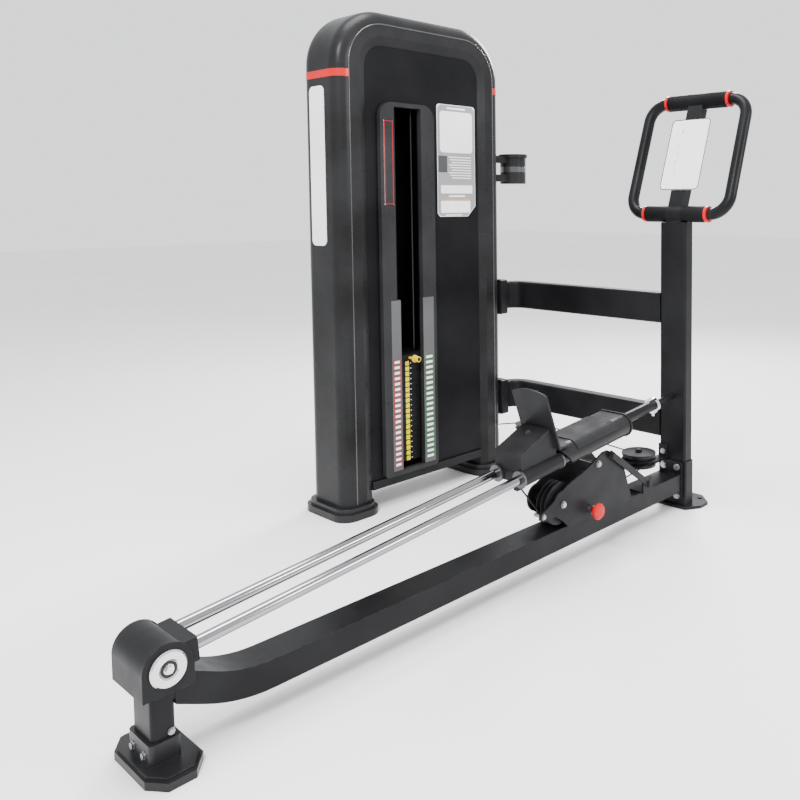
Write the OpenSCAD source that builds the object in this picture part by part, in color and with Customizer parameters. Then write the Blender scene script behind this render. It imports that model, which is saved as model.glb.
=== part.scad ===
// Standing glute press: an inclined slide rail with a foot carriage, a handle column and a weight-stack tower.
// Units are millimetres. The origin is on the floor, under the middle of the handle column.
// +X points from the front foot to the column, +Y from the rail to the tower, +Z up.

/* [Base] */
// Distance from the front leg's axis to the column's axis
base_length = 1800; // [1795:1:1830]
// Width of the floor beam
beam_w = 84; // [76:1:88]
// Height of the floor beam's section
beam_h = 60; // [54:1:62]
// Height of the beam's underside above the floor
beam_bottom = 60; // [58:1:62]
// Upward bend of the beam's front end, in degrees
beam_rise = 25; // [22:1:27]
// Corner radius of the steel tubes
tube_corner = 9; // [6:1:12]
// Wall thickness of the steel tubes
tube_wall = 3; // [2.5:0.5:4]

/* [Column and handle] */
// Column depth along X
column_x = 50; // [46:1:54]
// Column width along Y
column_y = 103; // [96:1:106]
// Height of the column's top
column_top = 984; // [950:1:1000]
// Lean of the handle loop away from the user, in degrees
handle_lean = 19.8; // [15:0.1:22]
// Width of the handle loop between its tube axes
loop_w = 390; // [370:1:400]
// Height of the handle loop along its lean, between tube axes
loop_h = 418; // [400:1:430]
// Radius of the handle tube
loop_r = 20; // [17:0.5:21]

/* [Slide rail] */
// Slope of the slide rods, in degrees
rail_slope = 5.5; // [5:0.1:6]
// Radius of the slide rods
rod_r = 12.5; // [12:0.5:13]
// Distance between the slide rods' axes
rod_gap = 87; // [84:1:90]
// Length of the bearing tubes under the foot plate
bearing_len = 168; // [160:1:175]
// Width of the foot plate
foot_plate_w = 130; // [120:1:140]
// Lean of the foot plate from the rail's normal, in degrees
foot_plate_lean = 14.4; // [10:0.1:18]
// Width of the foot bed
bed_w = 136; // [132:1:140]
// Height of the foot bed's shell
bed_h = 68; // [66:1:72]

/* [Tower] */
// Height of the tower
tower_top = 1700; // [1690:1:1720]
// Depth of the tower's hoop along Y
hoop_d = 205; // [200:1:210]
// Thickness of the hoop across its section
hoop_t = 115; // [112:1:118]
// Number of stack plates below the head plate
plate_count = 19; // [15:1:19]
// Pitch of the stack plates
plate_pitch = 19; // [18:0.5:19]

/* [Hidden] */

fine = 96;       // facets of large round forms
small = 48;      // facets of small round forms

// Floor beam
beam_mid = beam_bottom + beam_h / 2;
flange_t = 10;
flange_face = -column_x / 2 - flange_t;
leg_x = 46;
leg_y = 82;
leg_axis = -base_length;
leg_face = leg_axis + leg_x / 2;
bend_r = 320;
bend_knee = leg_axis + 156;
bend_start = bend_knee + bend_r * tan(beam_rise / 2);
bend_end_x = bend_start - bend_r * sin(beam_rise);
bend_end_z = beam_mid + bend_r * (1 - cos(beam_rise));

// Slide rail: its own frame has +X along the rods and +Z normal to them
rail_x = -840;
rail_z = 308;
rail_front = -918;       // front end of the rods in the rail frame
rail_rear = 482;         // rear end of the foot bed at rest
end_plate_t = 6;
bearing_r = 23;
bed_lift = 5;            // the bed's middle lies this far above the rods

// Front hub
hub_z = 207;
hub_r = 47;
hub_inner = 58;          // half the distance between the hub plates
hub_plate_t = 8;
barrel_r = 22;
axle_r = 10;

// Cable and its pulleys
cable_r = 2.5;
groove_gap = 0.5;        // clearance between the cable and a groove
groove_y = -12;          // plane of the cable under the rail
wheel_x = -667;
wheel_z = 194;
wheel_mid = -20;         // middle of the big pulley's width
wheel_r = 54;            // cable radius on the big pulley
wheel_pitch = 16;        // distance between its two grooves
turn_r = 48;             // cable radius on the column and idler pulleys
turn_x = -172;
turn_y = groove_y + turn_r;
turn_z = 188;
turn_pitch = 14;         // distance between the column pulley's two grooves
turn_mid = turn_z + turn_pitch / 2;
idler_x = -40;
idler_y = 660;
idler_z = 173;
exit_angle = -35;        // heading of the cable as it leaves the tower
guide_r = 34;            // cable radius on the tower's top pulleys
guide_z = 1632;
base_r = 28;             // cable radius on the tower's base pulley

// Weight stack
stack_x = -550;
stack_y = 830;
stack_z = 134;
plate_w = 200;
plate_d = 130;
head_z = stack_z + plate_count * plate_pitch;
guide_gap = 75;
selector_r = 8;
pin_r = 4.5;

// Tower hoop
hoop_y = 737;
hoop_mid = -477.5;
hoop_half = 257.5;       // half the opening between the posts
hoop_wall = 4;
hoop_in_r = 75;
hoop_bend_z = tower_top - hoop_t - hoop_in_r;
post_z = 40;
cover_t = 6;
cover_y = hoop_y + 12;
bezel_y = cover_y - 18;

// Cable points that follow from the pulleys
function polar(r, a) = [r * cos(a), r * sin(a)];
function tangent_angle(p, r, side) = atan2(p[1], p[0]) + side * acos(r / norm(p));
lug_u = 30;
lug_w = -36;
lug_x = rail_x + lug_u * cos(rail_slope) - lug_w * sin(rail_slope);
lug_z = rail_z + lug_u * sin(rail_slope) + lug_w * cos(rail_slope);
wheel_in = tangent_angle([turn_x - wheel_x, turn_z - wheel_z], wheel_r, -1);
wheel_out = tangent_angle([lug_x - wheel_x, lug_z - wheel_z], wheel_r, 1) - 360;
turn_line = atan2(turn_y - idler_y, turn_x - idler_x) + 90;
idler_in = exit_angle + 90;
idler_point = [idler_x, idler_y] + polar(turn_r, idler_in);
base_run = (stack_y - idler_point[1]) / sin(-exit_angle);
riser_x = idler_point[0] - base_run * cos(exit_angle);
base_mid = [riser_x + base_r * cos(exit_angle), stack_y + base_r * sin(exit_angle)];
guide_right_x = riser_x - guide_r;
guide_left_x = stack_x + guide_r;

// ---------- Shared shapes ----------

// Rectangle with round corners, about its middle
module round_rect(w, h, r) {
    square([w - 2 * r, h], center = true);
    square([w, h - 2 * r], center = true);
    for (sx = [-1, 1], sy = [-1, 1])
        translate([sx * (w / 2 - r), sy * (h / 2 - r)]) circle(r, $fn = small);
}

// Hollow tube section, about its middle
module tube_section(w, h) {
    difference() {
        round_rect(w, h, tube_corner);
        round_rect(w - 2 * tube_wall, h - 2 * tube_wall, tube_corner - tube_wall);
    }
}

// Flat shape with two half-round ends
module stadium(w, h) {
    square([w - h, h], center = true);
    for (s = [-1, 1]) translate([s * (w - h) / 2, 0]) circle(h / 2, $fn = fine);
}

// Extrudes a section drawn in Y and Z along +X
module along_x(length) rotate([90, 0, 90]) linear_extrude(length) children();

// Extrudes a section drawn in X and Z along +Y
module along_y(length) translate([0, length, 0]) rotate([90, 0, 0]) linear_extrude(length) children();

module cyl_x(r, length) rotate([0, 90, 0]) cylinder(r = r, h = length, center = true, $fn = fine);
module cyl_y(r, length) rotate([90, 0, 0]) cylinder(r = r, h = length, center = true, $fn = fine);

// Places its children in the slide rail's own frame
module on_rail() translate([rail_x, 0, rail_z]) rotate([0, -rail_slope, 0]) children();

// Hexagon bolt head with a washer, standing on z = 0
module bolt_head(r) {
    cylinder(r = 2 * r, h = 1.5, $fn = small);
    translate([0, 0, 1.4]) cylinder(r = 1.7 * r, h = r, $fn = 6);
}

// Grooved pulley about Z; the cable's centre runs at radius r in each groove
module pulley(r, rim, width, bore, grooves, pitch) {
    floor_r = r - cable_r - groove_gap;
    mouth = min(cable_r + 4.5, grooves == 1 ? (width - 3) / 2 : (pitch - 1) / 2);
    difference() {
        cylinder(r = rim, h = width, center = true, $fn = fine);
        cylinder(r = bore, h = width + 2, center = true, $fn = fine);
        for (i = [0:grooves - 1])
            translate([0, 0, (i - (grooves - 1) / 2) * pitch])
                rotate_extrude($fn = fine)
                    polygon([
                        [floor_r, -cable_r - 0.6], [floor_r, cable_r + 0.6],
                        [rim + 1, mouth], [rim + 1, -mouth]
                    ]);
    }
}

// Round tube swept along a list of points
function unit(v) = v / norm(v);
function heading(p, i) =
    unit((i < len(p) - 1 ? unit(p[i + 1] - p[i]) : [0, 0, 0]) + (i > 0 ? unit(p[i] - p[i - 1]) : [0, 0, 0]));
function carry(n, t) = unit(n - (n * t) * t);
function normals(p, n, i = 0) =
    i == len(p) ? [] : let (m = carry(n, heading(p, i))) concat([m], normals(p, m, i + 1));
module sweep(p, r, sides = 8) {
    n = normals(p, carry([0.3, 0.2, 1], heading(p, 0)));
    rings = [
        for (i = [0:len(p) - 1], k = [0:sides - 1])
            let (t = heading(p, i), b = cross(t, n[i]), a = 360 * k / sides)
            p[i] + r * (cos(a) * n[i] + sin(a) * b)
    ];
    last = (len(p) - 1) * sides;
    polyhedron(rings, concat(
        [[for (k = [sides - 1:-1:0]) k]],
        [[for (k = [0:sides - 1]) last + k]],
        [for (i = [0:len(p) - 2], k = [0:sides - 1])
            let (a = i * sides + k, b = i * sides + (k + 1) % sides)
            [a, b, b + sides, a + sides]]
    ), convexity = 10);
}

// ---------- Base frame ----------

// Side outline of the bent beam, drawn in X and Z, inset all round
module beam_outline(inset) {
    half = beam_h / 2 - inset;
    translate([bend_start, beam_mid - half]) square([flange_face - bend_start, 2 * half]);
    translate([bend_start, beam_mid + bend_r]) intersection() {
        difference() {
            circle(bend_r + half, $fn = 192);
            circle(bend_r - half, $fn = 192);
        }
        polygon([[0, 0], [0, -400], [-400 * tan(beam_rise), -400]]);
    }
    translate([bend_end_x, bend_end_z]) rotate(-beam_rise) translate([-180, -half]) square([180, 2 * half]);
}

// Bent floor beam with the flange that bolts to the column
module main_beam() color([0.07, 0.07, 0.08]) {
    translate([flange_face, 0, 96]) along_x(flange_t) round_rect(92, 132, 8);
    difference() {
        translate([0, -beam_w / 2, 0]) along_y(beam_w) beam_outline(0);
        translate([0, -beam_w / 2 + tube_wall, 0]) along_y(beam_w - 2 * tube_wall) beam_outline(tube_wall);
        translate([leg_face - 200, -beam_w, 0]) cube([200, 2 * beam_w, 400]);
    }
}

// Front leg with the cross barrel of the hub on top
module front_leg() color([0.07, 0.07, 0.08]) {
    difference() {
        union() {
            translate([leg_axis, 0, 12]) linear_extrude(hub_z - 12) tube_section(leg_x, leg_y);
            translate([leg_axis, 0, hub_z]) cyl_y(barrel_r, 2 * hub_inner);
        }
        translate([leg_axis, 0, hub_z]) cyl_y(axle_r, 2 * hub_inner + 2);
    }
}

module front_foot() color([0.05, 0.05, 0.055]) {
    foot_outline = [[-56, -66], [-29, -104], [23, -104], [56, -62], [56, 62], [23, 104], [-29, 104], [-56, 66]];
    translate([leg_axis + 7, 0, 0]) difference() {
        union() {
            linear_extrude(16) polygon(foot_outline);
            linear_extrude(22) scale(0.92) polygon(foot_outline);
            translate([-7, 0, 0]) linear_extrude(62) round_rect(leg_x + 14, leg_y + 14, 10);
        }
        translate([-7, 0, 12]) linear_extrude(60) round_rect(leg_x, leg_y, tube_corner);
    }
}

module column() color([0.07, 0.07, 0.08]) {
    translate([0, 0, 10]) linear_extrude(column_top - 10) tube_section(column_x, column_y);
    translate([0, 0, column_top - 6]) linear_extrude(6) round_rect(column_x - 2, column_y - 2, tube_corner - 1);
}

// Floor plate with two slots, and the sleeve that holds the column
module column_foot() color([0.06, 0.06, 0.065]) {
    linear_extrude(10) difference() {
        polygon([[-36, -60], [15, -92], [62, -92], [110, -42], [110, 42], [62, 92], [15, 92], [-36, 60]]);
        for (y = [-52, 52]) translate([74, y]) {
            square([12, 8], center = true);
            for (s = [-4, 4]) translate([0, s]) circle(6, $fn = small);
        }
    }
    translate([0, 0, 10]) linear_extrude(152) difference() {
        round_rect(column_x + 8, column_y + 8, tube_corner + 3);
        round_rect(column_x, column_y, tube_corner);
        translate([-column_x, -column_y]) square([column_x / 2 + 0.5, 2 * column_y]);
    }
}

// Bolts on the beam's flange, the front foot and the handle column
module frame_bolts() color([0.75, 0.75, 0.77]) {
    for (y = [-27, 27], z = [45, 143])
        translate([flange_face, y, z]) rotate([0, -90, 0]) bolt_head(6);
    for (y = [-24, 24])
        translate([leg_axis - leg_x / 2 - 7, y, 38]) rotate([0, -90, 0]) bolt_head(4);
    for (s = [-1, 1])
        translate([leg_axis + 13, s * leg_y / 2, 72]) rotate([-90 * s, 0, 0]) bolt_head(3.5);
    translate([-column_x / 2 - 6, turn_y - 4, turn_z]) rotate([0, -90, 0]) bolt_head(5);
}

cross_h = 106;
cross_w = 50;
cross_bend_r = 72;
cross_x = -72;
cross_y = 775;
cross_levels = [288, 687];
socket_len = -cross_x + hoop_mid + hoop_half + hoop_t;

module cross_tubes() color([0.07, 0.07, 0.08]) {
    for (z = cross_levels) translate([0, 0, z]) {
        translate([cross_x - 6, cross_y, 0]) along_x(6) tube_section(cross_w, cross_h);
        translate([cross_x, cross_y - cross_bend_r, 0]) rotate_extrude(angle = 90, $fn = fine)
            translate([cross_bend_r, 0]) tube_section(cross_w, cross_h);
        translate([cross_x + cross_bend_r, column_y / 2, 0])
            along_y(cross_y - cross_bend_r - column_y / 2) tube_section(cross_w, cross_h);
    }
}

// Sleeves where the cross tubes enter the tower
module cross_sockets() color([0.2, 0.2, 0.21]) {
    for (z = cross_levels) translate([hoop_mid + hoop_half + hoop_t, cross_y, z - 4]) difference() {
        along_x(33) round_rect(68, 136, 8);
        translate([27, 0, 4]) along_x(10) round_rect(cross_w, cross_h, tube_corner);
    }
}

// ---------- Front hub and slide rail ----------

module hub_plates() color([0.06, 0.06, 0.065]) {
    for (s = [-1, 1]) translate([leg_axis, s * (hub_inner + hub_plate_t / 2), hub_z]) difference() {
        translate([0, -hub_plate_t / 2, 0]) along_y(hub_plate_t) {
            circle(hub_r, $fn = fine);
            translate([-hub_r, -49]) square([2 * hub_r + 3, 49]);
        }
        cyl_y(axle_r, hub_plate_t + 2);
    }
}

// Curved guard over the front of the hub
module hub_cover() color([0.06, 0.06, 0.065]) {
    cover_w = 2 * hub_inner;
    translate([leg_axis, -cover_w / 2, hub_z]) along_y(cover_w) {
        difference() {
            circle(hub_r, $fn = fine);
            circle(hub_r - 4, $fn = fine);
            translate([24, -100]) square([100, 200]);
            translate([-100, -100]) square([200, 100]);
        }
        translate([-hub_r, -49]) square([4, 49.5]);
    }
}

module hub_axle() color([0.6, 0.6, 0.62]) {
    translate([leg_axis, 0, hub_z]) cyl_y(axle_r, 2 * (hub_inner + hub_plate_t));
}

// Chrome end discs with a bolt in the middle of each
module hub_caps() color([0.85, 0.85, 0.87]) {
    for (s = [-1, 1])
        translate([leg_axis, s * (hub_inner + hub_plate_t), hub_z]) rotate([-90 * s, 0, 0]) {
            difference() {
                rotate_extrude($fn = fine) polygon([[0, 0], [35, 0], [35, 4], [32, 7], [19, 7], [16, 4], [0, 4]]);
                translate([0, 0, -1]) cylinder(r = 4, h = 20, $fn = small);
            }
            translate([0, 0, 4]) bolt_head(4.5);
        }
}

module rail_block() color([0.06, 0.06, 0.065]) {
    on_rail() difference() {
        translate([rail_front - 14, 0, -5]) along_x(30) round_rect(2 * hub_inner, 50, 6);
        for (s = [-1, 1]) translate([rail_front + 50, s * rod_gap / 2, 0]) cyl_x(rod_r, 100);
    }
}

module rail_rods() color([0.85, 0.85, 0.87]) {
    on_rail() for (s = [-1, 1])
        translate([rail_front, s * rod_gap / 2, 0]) rotate([0, 90, 0])
            cylinder(r = rod_r, h = rail_rear - rail_front, $fn = fine);
}

// Fixed oval plate that holds the rods' rear ends
module rear_end_plate() color([0.1, 0.1, 0.105]) {
    on_rail() {
        translate([rail_rear, 0, bed_lift]) along_x(end_plate_t) stadium(bed_w + 6, bed_h + 6);
        for (s = [-1, 1]) translate([rail_rear + end_plate_t, s * rod_gap / 2, 0])
            rotate([0, 90, 0]) bolt_head(7);
    }
}

// Round strut from the end plate, with a thinner bar that reaches the column
strut_start = rail_rear + end_plate_t;
strut_end = 700;
strut_r = 17;
strut_bar_r = 10;
module rail_strut() color([0.07, 0.07, 0.08]) {
    difference() {
        on_rail() translate([strut_start, 0, 0]) rotate([0, 90, 0]) difference() {
            union() {
                cylinder(r = strut_r, h = strut_end - strut_start, $fn = fine);
                cylinder(r = strut_bar_r, h = 380, $fn = fine);
            }
            translate([0, 0, -1]) cylinder(r = strut_r - 4, h = strut_end - strut_start - 5, $fn = fine);
        }
        translate([-column_x / 2, -100, 200]) cube([300, 200, 400]);
    }
}

// Chrome clamp collar on the strut, with its clamp screw below
module strut_collar() color([0.85, 0.85, 0.87]) {
    on_rail() translate([strut_end, 0, 0]) {
        difference() {
            cyl_x(27, 14);
            translate([-10, 0, 0]) cyl_x(strut_r, 20);
            cyl_x(strut_bar_r, 20);
        }
        translate([0, 0, -26]) rotate([180, 0, 0]) cylinder(r = 5, h = 10, $fn = small);
    }
}

// ---------- Pulley housing on the beam ----------

plate_in = 46;           // half the distance between the side plates
plate_t = 6;

lock_x = -545;
lock_z = 147;
lock_r = 5;

module side_outline() {
    translate([wheel_x, wheel_z]) circle(41, $fn = fine);
    polygon([
        [-335, 121], [-372, 226], [-427, 284], [-455, 303], [-480, 303], [-563, 268], [-642, 246],
        [-695, 223], [-680, 156], [-640, 121]
    ]);
}

// Two side plates; the near one carries an ear for the cable keeper
keeper = [-752, 182];
module side_plates() color([0.06, 0.06, 0.065]) difference() {
    union() {
        for (s = [-1, 1]) translate([0, s * (plate_in + plate_t / 2) - plate_t / 2, 0])
            along_y(plate_t) side_outline();
        translate([0, -plate_in - plate_t, 0]) along_y(plate_t)
            polygon([[-680, 222], [-742, 197], [-762, 191], [-765, 175], [-752, 168], [-680, 166]]);
    }
    translate([wheel_x, 0, wheel_z]) cyl_y(6, 200);
    translate([lock_x, -plate_in, lock_z]) cyl_y(lock_r + 0.6, 30);
}

// Channel on the beam that the side plates bolt to
module pulley_base() color([0.07, 0.07, 0.08]) difference() {
    translate([-610, 0, beam_bottom + beam_h]) along_x(260) {
        translate([-plate_in, 0]) square([2 * plate_in, 6]);
        for (s = [-1, 1]) translate([s * (plate_in - 3) - 3, 0]) square([6, 34]);
    }
    translate([lock_x, -plate_in, lock_z]) cyl_y(lock_r + 0.6, 30);
}

// Axle, spacer bars, keeper and bolts of the pulley housing, and the sleeve of the lock pin
spacer_at = [[-504, 273], [-415, 215]];
module pulley_fixings() color([0.75, 0.75, 0.77]) {
    translate([wheel_x, 0, wheel_z]) cyl_y(6, 2 * (plate_in + plate_t));
    for (p = spacer_at) translate([p[0], 0, p[1]]) cyl_y(5, 2 * plate_in);
    for (s = [-1, 1]) {
        for (p = [spacer_at[0], [wheel_x, wheel_z]])
            translate([p[0], s * (plate_in + plate_t), p[1]]) rotate([-90 * s, 0, 0]) bolt_head(5);
    }
    for (span = [[-plate_in, -38], [-2, plate_in]])
        translate([wheel_x, (span[0] + span[1]) / 2, wheel_z]) difference() {
            cyl_y(11, span[1] - span[0]);
            cyl_y(6, 2 * plate_in);
        }
    translate([keeper[0], -20, keeper[1]]) rotate([90, 0, 0]) cylinder(r = 5, h = plate_in - 20, $fn = fine);
    translate([keeper[0], -plate_in - plate_t, keeper[1]]) rotate([90, 0, 0]) bolt_head(4);
    translate([lock_x, -plate_in - plate_t - 6, lock_z]) difference() {
        cyl_y(13, 12);
        cyl_y(lock_r + 0.6, 14);
    }
}

// Flat brace from the side plate's rear edge down to the beam
brace_top = [-445, 288];
brace_low = [-253, 150];
brace_y = -plate_in - plate_t - 7;
module brace_bar() color([0.06, 0.06, 0.065]) {
    run = brace_low - brace_top;
    translate([brace_top[0], brace_y, brace_top[1]]) rotate([0, -atan2(run[1], run[0]), 0])
        translate([norm(run) / 2, 0, 0]) cube([norm(run) + 24, 6, 20], center = true);
}

module brace_bracket() color([0.06, 0.06, 0.065]) {
    foot_z = beam_bottom + beam_h;
    translate([-275, brace_y + 3, foot_z]) cube([50, -brace_y - 3, 6]);
    translate([-275, brace_y + 3, foot_z]) cube([50, 6, 46]);
    translate([brace_top[0], -plate_in - plate_t - 2, brace_top[1]]) cyl_y(11, 4);
    for (p = [brace_top, brace_low])
        translate([p[0], brace_y - 3, p[1]]) rotate([90, 0, 0]) bolt_head(5);
}

// Arm under the column pulley, with its back plate, axle, spacers and top bolt
module column_pulley_bracket() color([0.07, 0.07, 0.08]) {
    translate([turn_x, turn_y, turn_mid]) {
        translate([0, 0, -32]) cylinder(r = 24, h = 7, $fn = fine);
        translate([0, -20, -32]) cube([-turn_x - column_x / 2, 40, 7]);
        translate([-turn_x - column_x / 2 - 6, -20, -32]) cube([6, 35, 50]);
        translate([0, 0, -32]) cylinder(r = 6, h = 56, $fn = fine);
        translate([0, 0, -25]) cylinder(r = 11, h = 2.5, $fn = small);
        translate([0, 0, 22.5]) cylinder(r = 11, h = 1.5, $fn = small);
        translate([0, 0, 24]) bolt_head(6);
    }
}

// Arm and axle of the idler pulley, hung from the lower cross tube
module idler_bracket() color([0.07, 0.07, 0.08]) {
    arm = cross_levels[0] - cross_h / 2 - idler_z;
    translate([idler_x, idler_y, idler_z]) {
        translate([0, 0, arm - 8]) cylinder(r = 24, h = 8, $fn = fine);
        translate([0, -24, arm - 8]) cube([-idler_x + 20, 48, 8]);
        translate([0, 0, -16]) cylinder(r = 6, h = arm + 10, $fn = fine);
        translate([0, 0, 9]) cylinder(r = 10, h = arm - 16, $fn = small);
        translate([0, 0, -15]) cylinder(r = 11, h = 6, $fn = 6);
    }
}

// ---------- Weight tower ----------

// Section of the hoop: X runs outward from the opening, Y along the tower's depth
hoop_round = 45;                 // outer corner radius
hoop_bevel = [30, 12];           // size of the bevel beside the opening
module hoop_section(inset) {
    reach = hoop_bevel[0] * hoop_bevel[1] + norm(hoop_bevel) * inset;
    bevel_x = round((reach - hoop_bevel[0] * inset) / hoop_bevel[1]);
    bevel_y = round((reach - hoop_bevel[1] * inset) / hoop_bevel[0]);
    flat = hoop_t - hoop_round;
    polygon([
        [inset, bevel_y], [bevel_x, inset], [flat, inset],
        [flat, hoop_d - inset], [bevel_x, hoop_d - inset], [inset, hoop_d - bevel_y]
    ]);
    translate([flat - 1, hoop_round]) square([hoop_round - inset + 1, hoop_d - 2 * hoop_round]);
    for (y = [hoop_round, hoop_d - hoop_round])
        translate([flat, y]) circle(hoop_round - inset, $fn = fine);
}

module hoop_wall_section() difference() {
    hoop_section(0);
    hoop_section(hoop_wall);
}

module tower_hoop() color([0.06, 0.06, 0.065]) {
    mid = hoop_half - hoop_in_r;
    difference() {
        translate([hoop_mid, hoop_y, 0]) {
            for (s = [0, 1]) mirror([s, 0, 0]) {
                translate([hoop_half, 0, post_z]) linear_extrude(hoop_bend_z - post_z) hoop_wall_section();
                translate([mid, hoop_d, hoop_bend_z]) rotate([90, 0, 0])
                    rotate_extrude(angle = 90, $fn = fine) translate([hoop_in_r, 0]) hoop_wall_section();
            }
            translate([mid, 0, hoop_bend_z]) rotate([0, -90, 0])
                linear_extrude(2 * mid) translate([hoop_in_r, 0]) hoop_wall_section();
        }
        translate([riser_x + 60, hoop_y + 5, idler_z - 14]) cube([80, 80, 28]);
        translate([stack_x - 10, stack_y - 10, hoop_bend_z + hoop_in_r - 2]) cube([20, 20, 8]);
    }
}

module tower_feet() color([0.05, 0.05, 0.055]) {
    for (s = [-1, 1])
        translate([hoop_mid + s * (hoop_half + hoop_t / 2), hoop_y + hoop_d / 2, 0]) {
            linear_extrude(24) round_rect(166, 250, 55);
            linear_extrude(post_z) round_rect(146, 230, 50);
        }
}

// Cross bars between the posts, and the stack's base and bumpers
module tower_bars() color([0.08, 0.08, 0.085]) {
    left = hoop_mid - hoop_half;
    wide = 2 * hoop_half;
    for (y = [hoop_y + 4, hoop_y + hoop_d - 34]) translate([left, y, 75]) cube([wide, 30, 28]);
    translate([stack_x - 110, hoop_y + 34, 91]) cube([220, hoop_d - 68, 12]);
    difference() {
        translate([left, stack_y - 18, 1470]) cube([wide, 36, 30]);
        translate([stack_x, stack_y, 1460]) cylinder(r = 8, h = 50, $fn = small);
        for (s = [-1, 1]) translate([stack_x + s * guide_gap, stack_y, 1460]) cylinder(r = 9.5, h = 50, $fn = fine);
    }
    for (s = [-1, 1]) translate([stack_x + s * guide_gap, stack_y, 103]) difference() {
        cylinder(r = 19, h = stack_z - 103, $fn = small);
        translate([0, 0, -1]) cylinder(r = 9.5, h = 40, $fn = fine);
    }
}

// Cover outline inside the hoop, drawn in X and Z from the tower's middle
module cover_outline(gap) {
    r = hoop_in_r - gap;
    half = hoop_half - gap;
    top = hoop_bend_z + hoop_in_r - gap;
    translate([-half, 104]) square([2 * half, top - r - 104]);
    translate([-half + r, 104]) square([2 * (half - r), top - 104]);
    for (s = [-1, 1]) translate([s * (half - r), top - r]) circle(r, $fn = fine);
}

window_mid = -92;
window_w = 117;
window_top = 1383;
module front_cover() color([0.055, 0.055, 0.06]) {
    translate([hoop_mid, cover_y, 0]) difference() {
        along_y(cover_t) cover_outline(0.5);
        translate([window_mid - window_w / 2, -1, 120]) cube([window_w, 20, window_top - 120]);
    }
}

module rear_cover() color([0.055, 0.055, 0.06]) {
    translate([hoop_mid, hoop_y + hoop_d - 18, 0]) difference() {
        along_y(cover_t) cover_outline(0.5);
        for (i = [0:7]) translate([-90, -1, 240 + 26 * i]) cube([180, 20, 8]);
    }
}

// Raised frame round the stack window
module stack_bezel() color([0.03, 0.03, 0.032]) {
    translate([hoop_mid, bezel_y, 0]) difference() {
        translate([-91, 0, 0]) along_y(18) {
            translate([0, 702]) round_rect(237, 1196, 14);
            translate([0, window_top - 85]) round_rect(237, 200, 50);
        }
        translate([window_mid - window_w / 2, -1, 720]) cube([window_w, 40, window_top - 720]);
        translate([-135.5, -1, 120]) cube([100, 40, 610]);
    }
}

band_x = [-654, -513];
band_w = [41, 49];
module value_bands() color([0.45, 0.46, 0.48]) {
    for (i = [0, 1]) translate([band_x[i], bezel_y - 1.2, 122]) cube([band_w[i], 1.2, 597]);
}

module value_marks(i) {
    for (k = [0:plate_count]) translate([band_x[i] + 5, bezel_y - 2, stack_z + 3.5 + plate_pitch * k])
        cube([band_w[i] - 11, 0.8, plate_pitch - 7]);
}
module red_marks() color([0.8, 0.08, 0.08]) value_marks(0);
module green_marks() color([0.1, 0.6, 0.2]) value_marks(1);

// Pale plates: name strip, instruction plate, post strips and the handle's plate
module white_plates() color([0.85, 0.86, 0.88]) {
    translate([-673, bezel_y - 1.2, 1050]) cube([38, 1.2, 285]);
    translate([-422, cover_y - 2, 0]) along_y(2) {
        translate([93, 1262]) round_rect(186, 300, 12);
        polygon([[0, 1016], [12, 1004], [148, 1004], [186, 1042], [186, 1300], [0, 1300]]);
    }
    translate([hoop_mid - hoop_half - hoop_t - 2, 852, 1178]) along_x(2) round_rect(82, 526, 20);
    on_handle() translate([-21, 0, 212]) along_x(3) round_rect(155, 262, 16);
}

// Red bands round the outer side of the tower's posts, and the rings at the grips' ends
ring_from = 70;
module accent_rings() color([0.8, 0.06, 0.06]) {
    translate([hoop_mid, hoop_y, 1466.5]) for (s = [0, 1]) mirror([s, 0, 0])
        translate([hoop_half, 0, 0]) linear_extrude(25) difference() {
            hoop_section(-1.2);
            hoop_section(0);
            translate([-9, -9]) square([ring_from + 9, hoop_d + 18]);
        }
    on_handle() for (z = [0, loop_h], s = [-1, 1]) translate([0, s * (grip_end + 5), z]) difference() {
        cyl_y(grip_r, 10);
        cyl_y(loop_r, 12);
    }
}

module guide_rods() color([0.85, 0.85, 0.87]) {
    for (s = [-1, 1]) translate([stack_x + s * guide_gap, stack_y, 103]) cylinder(r = 9.5, h = 1397, $fn = fine);
}

// One stack plate from z = 0: a raised pad keeps a thin dark line between neighbours
module stack_plate() {
    difference() {
        union() {
            translate([-plate_w / 2, -plate_d / 2, 0.7]) cube([plate_w, plate_d, plate_pitch - 1.4]);
            translate([-plate_w / 2 + 5, -plate_d / 2 + 5, 0]) cube([plate_w - 10, plate_d - 10, plate_pitch]);
        }
        translate([0, 0, -1]) cylinder(r = 10, h = plate_pitch + 2, $fn = small);
        for (s = [-1, 1]) translate([s * guide_gap, 0, -1]) cylinder(r = 10.2, h = plate_pitch + 2, $fn = small);
        translate([0, -plate_d / 4, plate_pitch / 2]) cyl_y(5.5, plate_d / 2 + 4);
    }
}

module weight_plates() color([0.12, 0.12, 0.125]) {
    for (k = [0:plate_count - 1]) translate([stack_x, stack_y, stack_z + k * plate_pitch]) stack_plate();
}

// Head plate with the drilled selector rod that hangs through the stack
module head_plate() color([0.14, 0.14, 0.145]) {
    difference() {
        union() {
            translate([stack_x, stack_y, head_z]) stack_plate();
            translate([stack_x, stack_y, stack_z - 4])
                cylinder(r = selector_r, h = head_z - stack_z + 48, $fn = fine);
            translate([stack_x, stack_y, head_z + plate_pitch]) cylinder(r = 14, h = 14, $fn = small);
        }
        for (k = [0:plate_count])
            translate([stack_x, stack_y, stack_z + (k + 0.5) * plate_pitch]) cyl_y(pin_r + 0.1, 2 * selector_r + 8);
    }
}

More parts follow.
